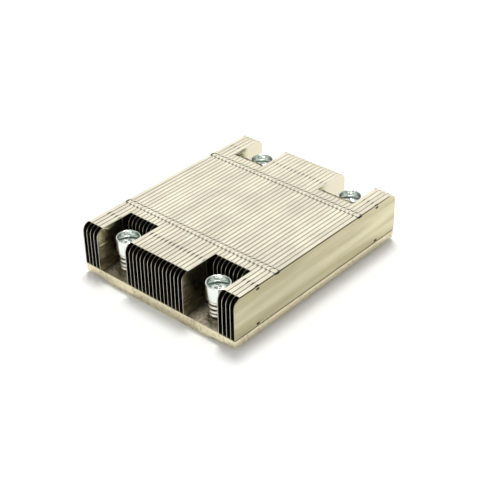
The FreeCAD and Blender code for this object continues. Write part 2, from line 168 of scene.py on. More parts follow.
class StageSettings(bpy.types.PropertyGroup):
    """Camera and studio light"""

    azimuth: FloatProperty(name="Azimuth", description="Camera round the object",
                           default=math.radians(41.691), subtype="ANGLE", unit="ROTATION")
    elevation: FloatProperty(name="Elevation", description="Camera above the floor",
                             default=math.radians(33.712), subtype="ANGLE", unit="ROTATION")
    roll: FloatProperty(name="Roll", description="Camera turned about its own axis",
                        default=math.radians(-0.932), subtype="ANGLE", unit="ROTATION")
    distance: length("Distance", "Camera to the point it aims at", 546.7)
    aim_height: length("Aim height", "Height of the point aimed at", 13.0)
    aim_right: FloatProperty(name="Aim right", description="Aim moved to the right",
                             default=3.635 * MM, subtype="DISTANCE", unit="LENGTH")
    aim_up: FloatProperty(name="Aim up", description="Aim moved up",
                          default=-8.402 * MM, subtype="DISTANCE", unit="LENGTH")
    lens: FloatProperty(name="Lens", description="Focal length", default=82.86,
                        subtype="DISTANCE_CAMERA")
    floor_colour: colour("Floor", "Pale studio floor", "#F2F2F0")
    floor_size: length("Floor size", "Half the width of the floor", 6000)
    floor_glow: share("Floor glow", "Light that the floor adds where it is seen", 0.05)
    lamp_place: FloatVectorProperty(name="Lamp place", description="Middle of the softbox",
                                    default=(-0.24, 0.34, 1.48), subtype="XYZ", unit="LENGTH")
    lamp_size: length("Lamp size", "Side of the square softbox", 450)
    lamp_watts: FloatProperty(name="Lamp power", description="Power of the softbox",
                              default=16.5, min=0.0, unit="POWER")


# ---------------------------------------------------------------- node and mesh helpers


def add_node(tree, kind, inputs=None, stops=None, **settings):
    """Adds a node with its settings and links. Its kind is Blender's name for it after the
    word ShaderNode. An input is a value, a colour, an output, or a node, which stands for the
    first output that it has in use. Stops are the (position, colour or grey) pairs of a colour
    ramp."""
    node = tree.nodes.new("ShaderNode" + kind)
    for name, value in settings.items():
        setattr(node, name, value)
    for name, value in (inputs or {}).items():
        socket = node.inputs[name]
        if isinstance(value, bpy.types.Node):
            value = next(output for output in value.outputs if output.enabled)
        if isinstance(value, bpy.types.NodeSocket):
            tree.links.new(value, socket)
        elif socket.type == "RGBA" and len(value) == 3:
            socket.default_value = (*value, 1)
        else:
            socket.default_value = value
    if stops:
        points = node.color_ramp.elements
        while len(points) < len(stops):
            points.new(0.5)
        for point, (position, tone) in zip(points, stops):
            point.position = position
            point.color = (tone, tone, tone, 1) if isinstance(tone, float) else (*tone, 1)
    return node


def new_material(name):
    """An empty material, its node tree and its object coordinates in millimetres."""
    material = bpy.data.materials.new(name)
    material.use_nodes = True
    tree = material.node_tree
    tree.nodes.clear()
    place = add_node(tree, "TexCoord").outputs["Object"]
    return material, tree, add_node(tree, "Mapping",
                                    {"Vector": place, "Scale": (1 / MM, 1 / MM, 1 / MM)})


def finish_material(tree, surface, bumps=()):
    """Ends a material in its shader and output. Each bump is a pattern, how strongly it shows
    and its height in millimetres, and lies on the bump before it."""
    normal = {}
    for height, strength, depth in bumps:
        normal = {"Normal": add_node(tree, "Bump", {
            "Height": height, "Strength": strength, "Distance": depth * MM, **normal})}
    shader = add_node(tree, "BsdfPrincipled", {**surface, **normal})
    add_node(tree, "OutputMaterial", {"Surface": shader})


def stretched(tree, place, scale, detail=3.0, roughness=0.55):
    """Noise whose features are stretched: scale is in features per millimetre on each axis."""
    moved = add_node(tree, "Mapping", {"Vector": place, "Scale": scale})
    return add_node(tree, "TexNoise",
                    {"Vector": moved, "Scale": 1.0, "Detail": detail, "Roughness": roughness})


def darkened(tree, tone, amount, pattern, dark, low=0.35, high=0.65):
    """A colour multiplied, by an amount, with a grey where a pattern is low."""
    grey = add_node(tree, "ValToRGB", {"Fac": pattern},
                    stops=[(low, dark), (high, 1.0)])
    return add_node(tree, "Mix",
                    {0: amount, 6: tone, 7: grey}, data_type="RGBA", blend_type="MULTIPLY")


def facing(tree):
    """How far each face looks along X, Y and Z, without regard to which way."""
    normal = add_node(tree, "TexCoord").outputs["Normal"]
    sizes = add_node(tree, "VectorMath", {0: normal}, operation="ABSOLUTE")
    return add_node(tree, "SeparateXYZ", {"Vector": sizes}).outputs


def paint(obj, material):
    """Puts one material on every face of a piece."""
    slots = obj.data.materials
    if len(slots) == 0:
        slots.append(material)
    for k in range(len(slots)):
        slots[k] = material


def copy_mesh(obj):
    """A bmesh with the shape of an object."""
    mesh = bmesh.new()
    mesh.from_mesh(obj.data)
    return mesh


def make_piece(name, mesh, material, smooth_angle=35):
    """Turns a bmesh into an object that sits at the origin, shaded smooth below an angle."""
    bmesh.ops.remove_doubles(mesh, verts=mesh.verts, dist=0.002 * MM)
    bmesh.ops.recalc_face_normals(mesh, faces=mesh.faces)
    for face in mesh.faces:
        face.smooth = True
    limit = math.radians(smooth_angle)
    for edge in mesh.edges:
        edge.smooth = len(edge.link_faces) == 2 and edge.calc_face_angle(0.0) < limit
    data = bpy.data.meshes.new(name)
    mesh.to_mesh(data)
    mesh.free()
    obj = bpy.data.objects.new(name, data)
    bpy.context.scene.collection.objects.link(obj)
    data.materials.append(material)
    return obj


def make_block(size, place):
    """A box of a size, centred on a place."""
    mesh = bmesh.new()
    bmesh.ops.create_cube(mesh, size=1.0)
    bmesh.ops.scale(mesh, verts=mesh.verts, vec=size)
    bmesh.ops.translate(mesh, verts=mesh.verts, vec=place)
    return mesh


def turn_about(mesh, centre, angle, axis="Z"):
    """Turns a whole mesh about a line through a centre."""
    bmesh.ops.rotate(mesh, verts=mesh.verts, cent=centre, matrix=Matrix.Rotation(angle, 3, axis))


def add_section(mesh, points, centre, closed=True):
    """Joins (radius, height) points by edges in the upright plane through a centre."""
    corners = [mesh.verts.new((centre.x + r, centre.y, z)) for r, z in points]
    count = len(corners)
    for k in range(count if closed else count - 1):
        mesh.edges.new((corners[k], corners[(k + 1) % count]))
    return corners


def turn(mesh, centre, steps, angle=2 * math.pi, rise=0.0, geom=None):
    """Spins a section about the upright axis through a centre, with a rise for a helix."""
    whole = abs(angle - 2 * math.pi) < 1e-6 and rise == 0.0
    return bmesh.ops.spin(
        mesh, geom=geom if geom is not None else mesh.verts[:] + mesh.edges[:],
        cent=Vector((centre.x, centre.y, 0)), axis=Vector((0, 0, 1)),
        dvec=Vector((0, 0, rise / steps)), angle=angle, steps=steps,
        space=Matrix.Identity(4), use_merge=whole, use_normal_flip=False,
        use_duplicate=False)["geom_last"]


def cap(mesh, section):
    """Closes the end of a turned mesh with a face over its last section."""
    bmesh.ops.edgenet_fill(mesh, edges=[e for e in section if isinstance(e, bmesh.types.BMEdge)])


def bevel(mesh, corners, affect, size, segments):
    """Rounds edges, or corners of a section that is still flat."""
    bmesh.ops.bevel(mesh, geom=corners, affect=affect, offset=size, offset_type="OFFSET",
                    segments=segments, profile=0.5, material=-1, clamp_overlap=True)


def combine(obj, tool, operation):
    """Adds or cuts one closed mesh by another with the exact solver; the tool goes."""
    modifier = obj.modifiers.new("combine", "BOOLEAN")
    modifier.object = tool
    modifier.operation = operation
    modifier.solver = "EXACT"
    bpy.context.view_layer.update()
    graph = bpy.context.evaluated_depsgraph_get()
    data = bpy.data.meshes.new_from_object(obj.evaluated_get(graph))
    obj.modifiers.clear()
    old = obj.data
    obj.data = data
    data.name = old.name
    bpy.data.meshes.remove(old)
    bpy.data.meshes.remove(tool.data)


def round_node(node):
    """Upright axis of a round CAD node, its radius, and its lowest and highest level."""
    low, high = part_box(node)
    centre = Vector(((low.x + high.x) / 2, (low.y + high.y) / 2, 0))
    return centre, (high.x - low.x) / 2, low.z, high.z


# ---------------------------------------------------------------- finishes

# Gauge of the fins, in millimetres.
GAUGE = 0.4
# A face looks away from an axis below the first of these, and along it above the second.
AWAY = 0.4
ALONG = 0.9
# Bands across one pitch, in pitches from a fin's outer face: the middle (1) and half the
# width (2). The sheet itself takes the first sixth.
BURNISHED = {1: 0.095, 2: 0.052}
FLANGE = {1: 0.6, 2: 0.39}
ZIP_SLOT = {1: 0.72, 2: 0.27}
FLANGE_TIP = {1: 0.88, 2: 0.1}
# How far the painted shade at a slot's end runs past it, and how far it runs in, in metres.
RIM_OUT = 0.35 * MM
RIM_IN = 0.3 * MM


def fins_across(tree, where):
    """Place across the stack, counted in fins from the outer face of the first one."""
    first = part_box(FINS[0])[0].x / MM
    pitch = (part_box(SIDE_PLATE)[0].x / MM - first) / (len(FINS) - 1)
    # It starts 0.02 mm early, so that rounding leaves each outer face with its own fin.
    moved = add_node(tree, "Math", {0: where["X"], 1: first - 0.02}, operation="SUBTRACT")
    return add_node(tree, "Math", {0: moved, 1: pitch}, operation="DIVIDE")


def rims_of_flanges(tree, where, part, look):
    """Where the tips of the bent flanges and the walls of the zip slots are."""
    low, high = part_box(FINS[1])
    middle, half = (low.z + high.z) / 2 / MM, (high.z - low.z) / 2 / MM
    # A flange is one gauge thick, so its rim lies that close to the top or the foot.
    between = add_node(tree, "Math",
                       {0: where["Z"], 1: middle, 2: half - GAUGE - 0.02}, operation="COMPARE")
    rim = add_node(tree, "Math", {0: 1.0, 1: between}, operation="SUBTRACT")
    upright = add_node(tree, "Math", {0: look["Z"], 1: AWAY}, operation="LESS_THAN")
    flange = add_node(tree, "Math", {0: part, **FLANGE}, operation="COMPARE")
    for mask in (upright, flange):
        rim = add_node(tree, "Math", {0: rim, 1: mask}, operation="MULTIPLY")
    return rim


def beside(tree, where, middle, width):
    """Where a row of slots crosses the stack, at the same distance from the middle both ways,
    with 0.06 mm to spare so that the slots' own walls are in it."""
    away = add_node(tree, "Math", {0: where["Y"]}, operation="ABSOLUTE")
    return add_node(tree, "Math",
                    {0: away, 1: middle / MM, 2: width / 2 / MM + 0.06}, operation="COMPARE")


def slot_end_shade(tree, where, part, look, settings):
    """Where the shade of the openings is painted onto the flanges: a line 0.65 mm wide at both
    ends of each zip slot, and the tips beside each relief."""
    outside, inside = (beside(tree, where, settings.zip_middle, settings.zip_width + extra)
                       for extra in (2 * RIM_OUT, -2 * RIM_IN))
    ends = add_node(tree, "Math", {0: outside, 1: inside}, operation="SUBTRACT")
    by_slot = add_node(tree, "Math", {0: part, **ZIP_SLOT}, operation="COMPARE")
    slot = add_node(tree, "Math", {0: ends, 1: by_slot}, operation="MULTIPLY")
    relief = beside(tree, where, settings.relief_middle, settings.relief_width)
    by_tip = add_node(tree, "Math", {0: part, **FLANGE_TIP}, operation="COMPARE")
    # Only the reliefs at the -Y end get this painted shade.
    near = add_node(tree, "Math", {0: where["Y"], 1: 0.0}, operation="LESS_THAN")
    for mask in (by_tip, near):
        relief = add_node(tree, "Math", {0: relief, 1: mask}, operation="MULTIPLY")
    either = add_node(tree, "Math", {0: slot, 1: relief}, operation="MAXIMUM")
    flat = add_node(tree, "Math", {0: look["Z"], 1: ALONG}, operation="GREATER_THAN")
    return add_node(tree, "Math", {0: either, 1: flat}, operation="MULTIPLY")


def ends_of_sheet(tree, look):
    """Where the sheet was sheared off at the ends of the fins and round their corners."""
    along = add_node(tree, "Math", {0: look["Y"], 1: 0.1}, operation="GREATER_THAN")
    across = add_node(tree, "Math", {0: look["X"], 1: AWAY}, operation="LESS_THAN")
    return add_node(tree, "Math", {0: along, 1: across}, operation="MULTIPLY")


def nickel_sheet(settings):
    """Nickel-plated rolled sheet: warm pale metal with a fine grain along the fins."""
    material, tree, place = new_material("nickel_plated_sheet")
    where = add_node(tree, "SeparateXYZ", {"Vector": place}).outputs
    look = facing(tree)
    count = fins_across(tree, where)
    # No two fins took quite the same plating, so each strip of the top has its own tone.
    whole = add_node(tree, "Math", {0: count}, operation="FLOOR")
    each = add_node(tree, "TexWhiteNoise", {"W": whole}, noise_dimensions="1D")
    tint = Vector(settings.fin_tint)
    tone = add_node(tree, "ValToRGB", {"Fac": each},
                    stops=[(0.0, tuple(tint * 0.93)), (0.5, tuple(tint)),
                           (1.0, tuple(tint * 1.03))])
    # Rolling grain runs along the fin: about 0.25 mm apart, drawn 0.4 to 0.8 mm apart to show.
    grain = stretched(tree, place, (1.2, 0.05, 2.5), detail=2.0)
    tone = darkened(tree, tone, 0.18, grain, 0.6, low=0.3, high=0.7)
    # Cloudy plating: soft patches 11 to 22 mm across.
    clouds = stretched(tree, place, (0.06, 0.045, 0.09), detail=4.0)
    tone = darkened(tree, tone, 0.42, clouds, 0.66)
    # The upright webs deep in the stack and the seams between fins get painted shade, dull and
    # brown, where shade falls between the fins. Both are painted paler along the fins, towards the
    # far end.
    low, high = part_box(FINS[0])
    near_end, far_end, top = low.y / MM, high.y / MM, high.z / MM
    paled = []
    for start, end, most, dull in ((0.0, far_end * 0.8, 0.65, settings.web_shade_tint),
                                   (near_end, far_end, 0.5, settings.seam_shade_tint)):
        towards_far_end = add_node(tree, "MapRange",
                         {"Value": where["Y"], "From Min": start, "From Max": end,
                          "To Max": most})
        paled.append(add_node(tree, "Mix", {0: towards_far_end, 6: dull, 7: settings.fin_tint},
                              data_type="RGBA"))
    web_shade_tone, seam_shade_tone = paled
    web = add_node(tree, "Math", {0: look["X"], 1: ALONG}, operation="GREATER_THAN")
    # The shear burnished over half the thickness of the ends and tore the rest, dull and dark.
    # The shine is left off where the corners turn up: their tops are painted dark as shade.
    ends = ends_of_sheet(tree, look)
    part = add_node(tree, "Math", {0: count}, operation="FRACT")
    smooth = add_node(tree, "Math", {0: part, **BURNISHED}, operation="COMPARE")
    level = add_node(tree, "MapRange",
                     {"Value": look["Z"], "From Min": 0.3, "From Max": 0.8, "To Min": 1.0,
                      "To Max": 0.0})
    shiny = add_node(tree, "Math", {0: smooth, 1: level}, operation="MULTIPLY")
    end_tone = add_node(tree, "Mix", {0: shiny, 6: settings.torn_end_and_corner_shade, 7: settings.shear_tint},
                        data_type="RGBA")
    # The rims are painted shade: dull brown, and almost black in the rows of slots.
    rims = rims_of_flanges(tree, where, part, look)
    punched = add_node(tree, "Math",
                       {0: beside(tree, where, settings.zip_middle, settings.zip_width),
                        1: beside(tree, where, settings.relief_middle, settings.relief_width)},
                       operation="MAXIMUM")
    rim_shade_tone = add_node(tree, "Mix",
                        {0: punched, 6: seam_shade_tone, 7: settings.slot_shade_tint}, data_type="RGBA")
    # Painted shade of the openings at the ends of the slots and beside the reliefs.
    rolled = slot_end_shade(tree, where, part, look, settings)
    # Over the plating go the webs' painted shade, the ends, and the painted shade at the slot ends
    # and on the rims.
    for mask, over in ((web, web_shade_tone), (ends, end_tone), (rolled, settings.slot_shade_tint),
                       (rims, rim_shade_tone)):
        tone = add_node(tree, "Mix", {0: mask, 6: tone, 7: over}, data_type="RGBA")
    rough = add_node(tree, "MapRange",
                     {"Value": grain, "To Min": settings.fin_roughness - 0.05,
                      "To Max": settings.fin_roughness + 0.07})
    dull = add_node(tree, "Math", {0: ends, 1: rims}, operation="MAXIMUM")
    matt = add_node(tree, "Mix", {0: dull, 2: rough, 3: 0.5}, data_type="FLOAT")
    # The webs ripple where bending the flanges pulled them: waves about 2 mm high that
    # die out from 9 mm to 4 mm below the top.
    wave = stretched(tree, place, (0.25, 0.035, 0.6), detail=1.0)
    fade = add_node(tree, "MapRange",
                    {"Value": where["Z"], "From Min": top - 9.0, "From Max": top - 4.0,
                     "To Min": 1.0, "To Max": 0.1})
    on_web = add_node(tree, "Math", {0: fade, 1: web}, operation="MULTIPLY")
    wave = add_node(tree, "Math", {0: wave, 1: on_web}, operation="MULTIPLY")
    finish_material(tree, {"Base Color": tone, "Metallic": 1.0, "Roughness": matt},
                    [(wave, 0.4, 1.0), (grain, 0.12, 0.02)])
    return material


def nickel_side_plate(settings):
    """The outer fin: plated sheet that is not quite flat, so its reflection lies in soft bands;
    the bands are painted into its colour as well.
    """
    material, tree, place = new_material("nickel_plated_side_plate")
    where = add_node(tree, "SeparateXYZ", {"Vector": place}).outputs
    look = facing(tree)
    # Painted reflection in bands 6 mm high that run the length of the plate.
    bands = stretched(tree, place, (0.02, 0.012, 0.17), detail=2.0, roughness=0.4)
    light = add_node(tree, "MapRange", {"Value": bands, "From Min": 0.38, "From Max": 0.62})
    tone = add_node(tree, "Mix",
                    {0: light, 6: settings.plate_shade, 7: settings.plate_tint}, data_type="RGBA")
    # Cloudy patches 20 mm across, and rolling grain as on the other fins.
    clouds = stretched(tree, place, (0.05, 0.05, 0.08), detail=5.0)
    tone = darkened(tree, tone, 0.25, clouds, 0.72)
    grain = stretched(tree, place, (1.0, 0.06, 2.2), detail=2.0)
    tone = darkened(tree, tone, 0.15, grain, 0.6, low=0.3, high=0.7)
    # Painted reflection: the plate is made lighter towards its far end.
    low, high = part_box(SIDE_PLATE)
    near_end, far_end = low.y / MM, high.y / MM
    haze = add_node(tree, "MapRange",
                    {"Value": where["Y"], "From Min": near_end * 0.3, "From Max": far_end,
                     "To Min": 0.93, "To Max": 1.14})
    tone = add_node(tree, "VectorMath", {0: tone, "Scale": haze}, operation="SCALE")
    # The walls of the windows are painted dark and dull as the shade in them. The plate's own
    # edge lies within 0.05 mm of its top or foot, or 5 mm of an end, and stays as it is.
    window_shade = add_node(tree, "Math", {0: look["X"], 1: AWAY}, operation="LESS_THAN")
    for axis, middle, half in (
            ("Z", (low.z + high.z) / 2 / MM, (high.z - low.z) / 2 / MM - 0.05),
            ("Y", 0.0, far_end - 5.0)):
        inside = add_node(tree, "Math", {0: where[axis], 1: middle, 2: half}, operation="COMPARE")
        window_shade = add_node(tree, "Math", {0: window_shade, 1: inside}, operation="MULTIPLY")
    tone = add_node(tree, "Mix", {0: window_shade, 6: tone, 7: settings.slot_shade_tint}, data_type="RGBA")
    bare = add_node(tree, "Math", {0: 1.0, 1: window_shade}, operation="SUBTRACT")
    finish_material(tree, {"Base Color": tone, "Metallic": bare,
                           "Roughness": settings.fin_roughness + 0.06},
                    [(bands, 0.25, 0.3), (grain, 0.1, 0.02)])
    return material


def opening_wall_shade(settings):
    """Punched metal inside an opening: rough, dull, and painted nearly black as the shade in it.
    """
    material, tree, place = new_material("opening_wall_painted_shade")
    # Streaks of the torn metal a quarter of a millimetre apart.
    streaks = stretched(tree, place, (4.0, 4.0, 0.8), detail=2.0)
    tone = add_node(tree, "ValToRGB", {"Fac": streaks},
                    stops=[(0.35, tuple(Vector(settings.slot_shade_tint) * 0.7)),
                           (0.65, tuple(settings.slot_shade_tint))])
    finish_material(tree, {"Base Color": tone, "Roughness": 0.7}, [(streaks, 0.3, 0.05)])
    return material


def nickel_base(settings):
    """Milled and nickel-plated base: mottled, and stained by flux on its upper face."""
    material, tree, place = new_material("nickel_plated_base")
    where = add_node(tree, "SeparateXYZ", {"Vector": place}).outputs
    look = facing(tree)
    # Plating mottled in spots 1 to 2 mm across, over stains 10 mm across.
    mottle = stretched(tree, place, (0.75, 0.75, 0.75), detail=4.0, roughness=0.6)
    clouds = stretched(tree, place, (0.09, 0.09, 0.16), detail=6.0, roughness=0.65)
    mixed = 0.0
    for pattern, weight in ((mottle, 0.55), (clouds, 0.45)):
        mixed = add_node(tree, "Math",
                         {0: pattern, 1: weight, 2: mixed}, operation="MULTIPLY_ADD")
    # Copper shows pink through the plating in a few spots 3 to 5 mm across.
    patches = stretched(tree, place, (0.22, 0.22, 0.4), detail=4.0)
    tone = settings.base_tint
    for pattern, start, end, most, over in ((mixed, 0.5, 0.66, 0.75, settings.base_stain),
                                            (patches, 0.58, 0.72, 0.5, settings.base_blush)):
        amount = add_node(tree, "MapRange",
                          {"Value": pattern, "From Min": start, "From Max": end, "To Max": most})
        tone = add_node(tree, "Mix", {0: amount, 6: tone, 7: over}, data_type="RGBA")
    # The upper face was soldered: flux leaves it a darker, greyer brown.
    up = add_node(tree, "Math", {0: look["Z"], 1: ALONG}, operation="GREATER_THAN")
    top = add_node(tree, "Math", {0: where["Z"], 1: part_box("base_plate")[1].z / MM - 0.1},
                   operation="GREATER_THAN")
    upper_face = add_node(tree, "Math", {0: up, 1: top}, operation="MULTIPLY")
    pool = add_node(tree, "MapRange", {"Value": mottle, "From Min": 0.4, "From Max": 0.62})
    flux = add_node(tree, "Mix",
                    {0: pool, 6: settings.flux_tint, 7: settings.flux_shade}, data_type="RGBA")
    tone = add_node(tree, "Mix", {0: upper_face, 6: tone, 7: flux}, data_type="RGBA")
    # Specks a little over half a millimetre across, from the mill.
    specks = stretched(tree, place, (1.6, 1.6, 1.6), detail=2.0)
    tone = darkened(tree, tone, 0.2, specks, 0.55, high=0.6)
    rough = add_node(tree, "MapRange",
                     {"Value": mixed, "From Min": 0.35, "From Max": 0.7,
                      "To Min": settings.base_roughness - 0.06,
                      "To Max": settings.base_roughness + 0.1})
    # Flux is smoother than the mottled sides, so the fixings show in it.
    glaze = add_node(tree, "Mix", {0: upper_face, 2: rough, 3: 0.36}, data_type="FLOAT")
    finish_material(tree, {"Base Color": tone, "Metallic": 1.0, "Roughness": glaze},
                    [(specks, 0.15, 0.03)])
    return material


def bright_steel(name, tint, roughness):
    """Turned steel with bright zinc: cold white metal with faint rings from the lathe."""
    material, tree, place = new_material(name)
    # Lathe marks a fifth of a millimetre apart; hazy spots of zinc 3 mm across.
    rings = stretched(tree, place, (0.3, 0.3, 5.0), detail=2.0)
    clouds = stretched(tree, place, (0.3, 0.3, 0.3), detail=3.0)
    haze = add_node(tree, "MapRange",
                    {"Value": clouds, "From Min": 0.35, "From Max": 0.7, "To Max": 0.25})
    tone = add_node(tree, "Mix",
                    {0: haze, 6: tint, 7: tuple(Vector(tint) * 0.78)}, data_type="RGBA")
    rough = add_node(tree, "MapRange",
                     {"Value": clouds, "To Min": roughness * 0.7, "To Max": roughness * 1.4})
    finish_material(tree, {"Base Color": tone, "Metallic": 1.0, "Roughness": rough},
                    [(rings, 0.06, 0.02)])
    return material


# ---------------------------------------------------------------- operators


class FinishFins(bpy.types.Operator):
    """Gives the fin stack its plated sheet finish"""

    bl_idname = "heat_sink.finish_fins"
    bl_label = "Finish fins"

    def execute(self, context):
        settings = context.scene.heat_sink_finish
        sheet = nickel_sheet(settings)
        for name in FINS:
            paint(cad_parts[name], sheet)
        paint(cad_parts[SIDE_PLATE], nickel_side_plate(settings))
        return {"FINISHED"}


class AddFirstFin(bpy.types.Operator):
    """Makes the first fin again with an opening beside its bend in each zip row"""

    bl_idname = "heat_sink.add_first_fin"
    bl_label = "Add first fin"

    def execute(self, context):
        settings = context.scene.heat_sink_finish
        sheet = bpy.data.materials["nickel_plated_sheet"]
        low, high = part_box(FINS[0])
        fin = make_piece("whole_fin", copy_mesh(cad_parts[FINS[0]]), sheet, smooth_angle=20)
        torn = opening_wall_shade(settings)
        # Nothing stands before this fin, so no tongue fills its half of the zip slot, and the
        # opening bites into the bend.
        depth = 1.2 * MM
        inset, reach = 0.15 * MM, 1.0 * MM
        span = settings.zip_width - 0.5 * MM
        for end in (-1, 1):
            opening = make_block(
                (reach, span, 2 * depth),
                (low.x + inset + reach / 2, end * settings.zip_middle, high.z))
            combine(fin, make_piece("opening", opening, sheet), "DIFFERENCE")
        mesh = copy_mesh(fin)
        bpy.data.meshes.remove(fin.data)
        # The walls that the openings left stand within a hair of them, inside the fin's skin.
        hair, skin = 0.05 * MM, 0.1 * MM
        # These walls take the nearly black painted-shade material.
        for face in mesh.faces:
            middle = face.calc_center_median()
            if (abs(abs(middle.y) - settings.zip_middle) < span / 2 + hair
                    and low.x + skin < middle.x < low.x + inset + reach + hair
                    and high.z - depth - hair < middle.z < high.z - skin):
                face.material_index = 1
        fin = make_piece("first_fin", mesh, sheet, smooth_angle=20)
        fin.data.materials.append(torn)
        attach(fin, "heat_sink")
        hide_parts(FINS[0])
        return {"FINISHED"}


class AddBasePlate(bpy.types.Operator):
    """Makes the base plate again with its milled edges broken, and gives it its finish"""

    bl_idname = "heat_sink.add_base_plate"
    bl_label = "Add base plate"

    def execute(self, context):
        low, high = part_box("base_plate")
        mesh = copy_mesh(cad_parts["base_plate"])
        bmesh.ops.remove_doubles(mesh, verts=mesh.verts, dist=0.001 * MM)
        bmesh.ops.dissolve_limit(mesh, angle_limit=math.radians(0.5), verts=mesh.verts,
                                 edges=mesh.edges, delimit={"NORMAL"})
        margin = 0.5 * MM
        rim = []
        for edge in mesh.edges:
            ends = [vert.co for vert in edge.verts]
            sharp = len(edge.link_faces) == 2 and edge.calc_face_angle(0.0) > math.radians(20)
            on_rim = all(min(co.x - low.x, high.x - co.x, co.y - low.y, high.y - co.y) < margin
                         for co in ends)
            upright = abs(ends[0].z - ends[1].z) > 0.1 * MM
            if sharp and on_rim and not upright:
                rim.append(edge)
        bevel(mesh, rim, "EDGES", size=0.18 * MM, segments=2)
        plate = make_piece("milled_base", mesh, nickel_base(context.scene.heat_sink_finish),
                           smooth_angle=25)
        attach(plate, "heat_sink")
        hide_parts("base_plate")
        return {"FINISHED"}


class AddSpringCups(bpy.types.Operator):
    """Makes the four spring cups: turned sleeves with a web for the head and the spring"""

    bl_idname = "heat_sink.add_spring_cups"
    bl_label = "Add spring cups"

    def execute(self, context):
        sizes = context.scene.heat_sink_fixing
        finish = context.scene.heat_sink_finish
        steel = bright_steel("bright_zinc_cup", finish.steel_tint, finish.steel_roughness)
        for n in CORNERS:
            node = f"spring_cup_{n}"
            centre, outer, bottom, top = round_node(node)
            bore = outer - sizes.cup_wall
            ceiling = bottom + sizes.skirt_depth
            floor = ceiling + sizes.web_thickness
            mesh = bmesh.new()
            corners = add_section(mesh, [
                (outer, bottom), (outer, top), (bore, top), (bore, floor),
                (sizes.web_hole, floor), (sizes.web_hole, ceiling), (bore, ceiling),
                (bore, bottom)], centre)
            bevel(mesh, corners, "VERTICES", size=0.22 * MM, segments=3)
            turn(mesh, centre, sizes.round_steps)
            cup = make_piece(f"turned_cup_{n}", mesh, steel)
            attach(cup, f"cup_{n}")
            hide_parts(node)
        return {"FINISHED"}


class AddCaptiveScrews(bpy.types.Operator):
    """Makes the four captive screws: domed head, cross recess, plain shank and thread"""

    bl_idname = "heat_sink.add_captive_screws"
    bl_label = "Add captive screws"

    def make_recess(self, sizes, centre, top):
        """A tapered cross that cuts the driver recess."""
        width = sizes.recess_width
        mesh = make_block((width, width, 2 * sizes.recess_depth), (0, 0, 0))
        walls = [f for f in mesh.faces if abs(f.normal.z) < 0.5]
        reach = (sizes.recess_span - width) / 2
        for face in bmesh.ops.extrude_discrete_faces(mesh, faces=walls)["faces"]:
            bmesh.ops.translate(mesh, verts=face.verts, vec=face.normal * reach)
        taper = 0.42
        lower = [v for v in mesh.verts if v.co.z < 0]
        bmesh.ops.scale(mesh, verts=lower, vec=(taper, taper, 1))
        bmesh.ops.recalc_face_normals(mesh, faces=mesh.faces)
        turn_about(mesh, (0, 0, 0), math.radians(20))
        bmesh.ops.translate(mesh, verts=mesh.verts, vec=(centre.x, centre.y, top))
        return mesh

    def make_thread(self, sizes, centre, core, low, high):
        """A helical ridge round the core of the thread."""
        pitch = sizes.thread_pitch
        turns = (high - low) / pitch
        foot, half = core - 0.1 * MM, 0.42 * pitch
        mesh = bmesh.new()
        ridge = add_section(mesh, [(foot, low - half), (sizes.shank_radius, low),
                                   (foot, low + half)], centre)
        start = mesh.faces.new(ridge)
        last = turn(mesh, centre, round(turns * sizes.thread_steps), 2 * math.pi * turns,
                    turns * pitch, geom=list(start.edges) + list(start.verts))
        mesh.faces.new([v for v in last if isinstance(v, bmesh.types.BMVert)])
        return mesh

    def execute(self, context):
        sizes = context.scene.heat_sink_fixing
        finish = context.scene.heat_sink_finish
        steel = bright_steel("bright_zinc_screw", finish.steel_tint, finish.steel_roughness)
        for n in CORNERS:
            node = f"captive_screw_{n}"
            centre, _, tip, top = round_node(node)
            _, _, ring_low, ring_high = round_node(f"retaining_ring_{n}")
            seat = top - sizes.head_height
            shank, head = sizes.shank_radius, sizes.head_radius
            groove, gap = 1.5 * MM, 0.04 * MM
            # The thread's root lies 0.62 of its pitch in, as on a metric screw.
            core = shank - 0.62 * sizes.thread_pitch
            chamfer, dome = 0.3 * MM, 0.75 * MM
            mesh = bmesh.new()
            corners = add_section(mesh, [
                (0, tip), (core - chamfer, tip), (core, tip + chamfer),
                (core, ring_low - 0.3 * MM), (shank, ring_low - 0.2 * MM),
                (shank, ring_low - gap), (groove, ring_low - gap),
                (groove, ring_high + gap), (shank, ring_high + gap), (shank, seat),
                (head, seat), (head, top - dome), (head * 0.8, top - 0.12 * MM),
                (0, top)], centre, closed=False)
            # The last corners but one, up the side of the head.
            for corner, size, segments in zip(corners[-4:-1], (0.2, 0.35, 0.8), (3, 4, 4)):
                bevel(mesh, [corner], "VERTICES", size * MM, segments)
            turn(mesh, centre, sizes.round_steps)
            screw = make_piece(f"pan_head_screw_{n}", mesh, steel)
            recess = make_piece("recess", self.make_recess(sizes, centre, top), steel)
            combine(screw, recess, "DIFFERENCE")
            thread = make_piece("thread", self.make_thread(
                sizes, centre, core, tip + 0.5 * MM, ring_low - 0.45 * MM), steel)
            combine(screw, thread, "UNION")
            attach(screw, f"screw_{n}")
            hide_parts(node)
        return {"FINISHED"}


